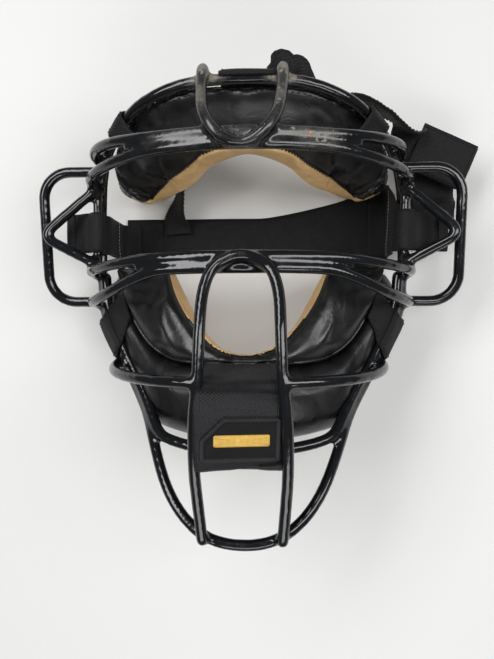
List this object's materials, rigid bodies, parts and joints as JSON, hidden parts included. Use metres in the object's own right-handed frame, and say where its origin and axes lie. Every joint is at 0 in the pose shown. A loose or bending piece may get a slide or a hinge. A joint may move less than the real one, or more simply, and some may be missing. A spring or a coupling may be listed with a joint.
{
  "type": "umpire mask",
  "caption": "Umpire face mask: welded coated-wire cage with doubled brow and eye bars, ear guards, puffed forehead and chin pads, webbing straps and an elastic head harness, lying on its back",
  "frame": {"origin": "centre of the bounding box in plan, on the surface that the mask lies on", "axes": "the mask lies on its back: +X is to the wearer's left across the width, seen on the right from above, +Y points to the top of the head, +Z is the way the face looks; the symmetry plane of the cage is at x = -0.007"},
  "size_m": [0.2809, 0.2694, 0.1357],
  "materials": {
    "coated_wire": "gloss",
    "pad_cover": "satin",
    "pad_lining": "matt",
    "black_web": "satin",
    "ribbed_web": "satin",
    "patch_cloth": "matt"
  },
  "bodies": {
    "cage": {"rim_hoop": "coated_wire", "jaw_bar": "coated_wire", "brow_bar_upper": "coated_wire", "brow_bar_lower": "coated_wire", "eye_bar_upper": "coated_wire", "eye_bar_lower": "coated_wire", "nose_loop": "coated_wire", "forehead_loop": "coated_wire", "cheek_bar_left": "coated_wire", "cheek_bar_right": "coated_wire", "ear_loop_left": "coated_wire", "ear_loop_right": "coated_wire", "ear_brace_left": "coated_wire", "ear_brace_right": "coated_wire", "ear_post_left": "coated_wire", "ear_post_right": "coated_wire", "forehead_pad_cover": "pad_cover", "forehead_pad_cushion": "pad_lining", "cheek_roll_cover": "pad_cover", "cheek_roll_cushion": "pad_lining", "chin_roll_cover": "pad_cover", "chin_roll_cushion": "pad_lining", "forehead_strap_left": "black_web", "forehead_strap_right": "black_web", "cheek_strap_left": "black_web", "cheek_strap_right": "black_web", "chin_strap": "ribbed_web", "chin_patch": "patch_cloth", "top_strap_loop": "black_web", "top_strap_tail": "black_web", "top_strap_tab": "black_web"},
    "harness": {"rear_band": "black_web", "top_strap_riser": "black_web", "side_riser_left": "black_web", "side_riser_right": "black_web"},
    "strap_end_left": {"side_strap_left": "black_web"},
    "strap_end_right": {"side_strap_right": "black_web"}
  },
  "joints": [
    {"name": "harness_pull", "type": "slide", "parent": "cage", "child": "harness", "axis": [0, 0, -1], "range_m": [0, 0.045], "deforming": ["top_strap_riser", "side_riser_left", "side_riser_right"]},
    {"name": "strap_end_left_swivel", "type": "hinge", "parent": "cage", "child": "strap_end_left", "pos_m": [-0.102, 0.04525, 0.055], "axis": [0, 1, 0], "range_deg": [-35, 20]},
    {"name": "strap_end_right_swivel", "type": "hinge", "parent": "cage", "child": "strap_end_right", "pos_m": [0.088, 0.04525, 0.055], "axis": [0, -1, 0], "range_deg": [-35, 15]}
  ]
}
